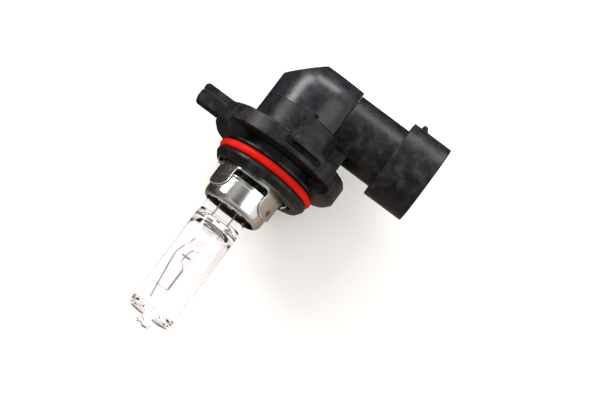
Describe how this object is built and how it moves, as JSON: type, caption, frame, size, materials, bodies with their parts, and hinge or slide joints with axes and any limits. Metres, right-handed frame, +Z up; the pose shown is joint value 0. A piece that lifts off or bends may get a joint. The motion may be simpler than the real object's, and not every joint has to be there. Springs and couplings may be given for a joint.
{
  "type": "headlight bulb",
  "caption": "Right-angle halogen headlight bulb: clear glass capsule in a steel holder, lugged black base with red sealing ring, elbow cap and shrouded side connector.",
  "frame": {"origin": "on the axis of the moulded base, in the middle plane of the sealing ring, where the lamp's socket holds the bulb", "axes": "+X along the bulb axis towards the glass tip, +Y towards the connector's mouth, +Z up with the bulb lying on its side"},
  "size_m": [0.0816, 0.0578, 0.0348],
  "materials": {
    "glass": "clear, polished",
    "tungsten": "dark grey drawn wire",
    "molybdenum": "grey drawn wire and foil",
    "holder_steel": "bright rolled sheet with satin shoulders",
    "terminal_metal": "tinned",
    "seal_rubber": "smooth red silicone",
    "base_plastic": "fine moulded texture",
    "cap_plastic": "smoother satin moulding",
    "silicone": "matte",
    "wire_sleeve": "braided glass fibre"
  },
  "bodies": {
    "root": {"glass_envelope": "glass", "glass_bridge": "glass", "molybdenum_foil_long": "molybdenum", "molybdenum_foil_short": "molybdenum", "long_support_lead": "molybdenum", "short_support_lead": "molybdenum", "filament": "tungsten", "filament_weld_strip": "molybdenum", "outer_lead_long": "terminal_metal", "outer_lead_short": "terminal_metal", "wire_sleeve_long": "wire_sleeve", "wire_sleeve_short": "wire_sleeve", "mounting_sleeve": "holder_steel", "capsule_cup": "holder_steel", "pinch_clamp": "holder_steel", "o_ring": "seal_rubber", "base_housing": "base_plastic", "elbow_cap": "cap_plastic", "terminal_long": "terminal_metal", "terminal_short": "terminal_metal", "terminal_carrier": "base_plastic", "silicone_seal": "silicone"}
  },
  "joints": []
}
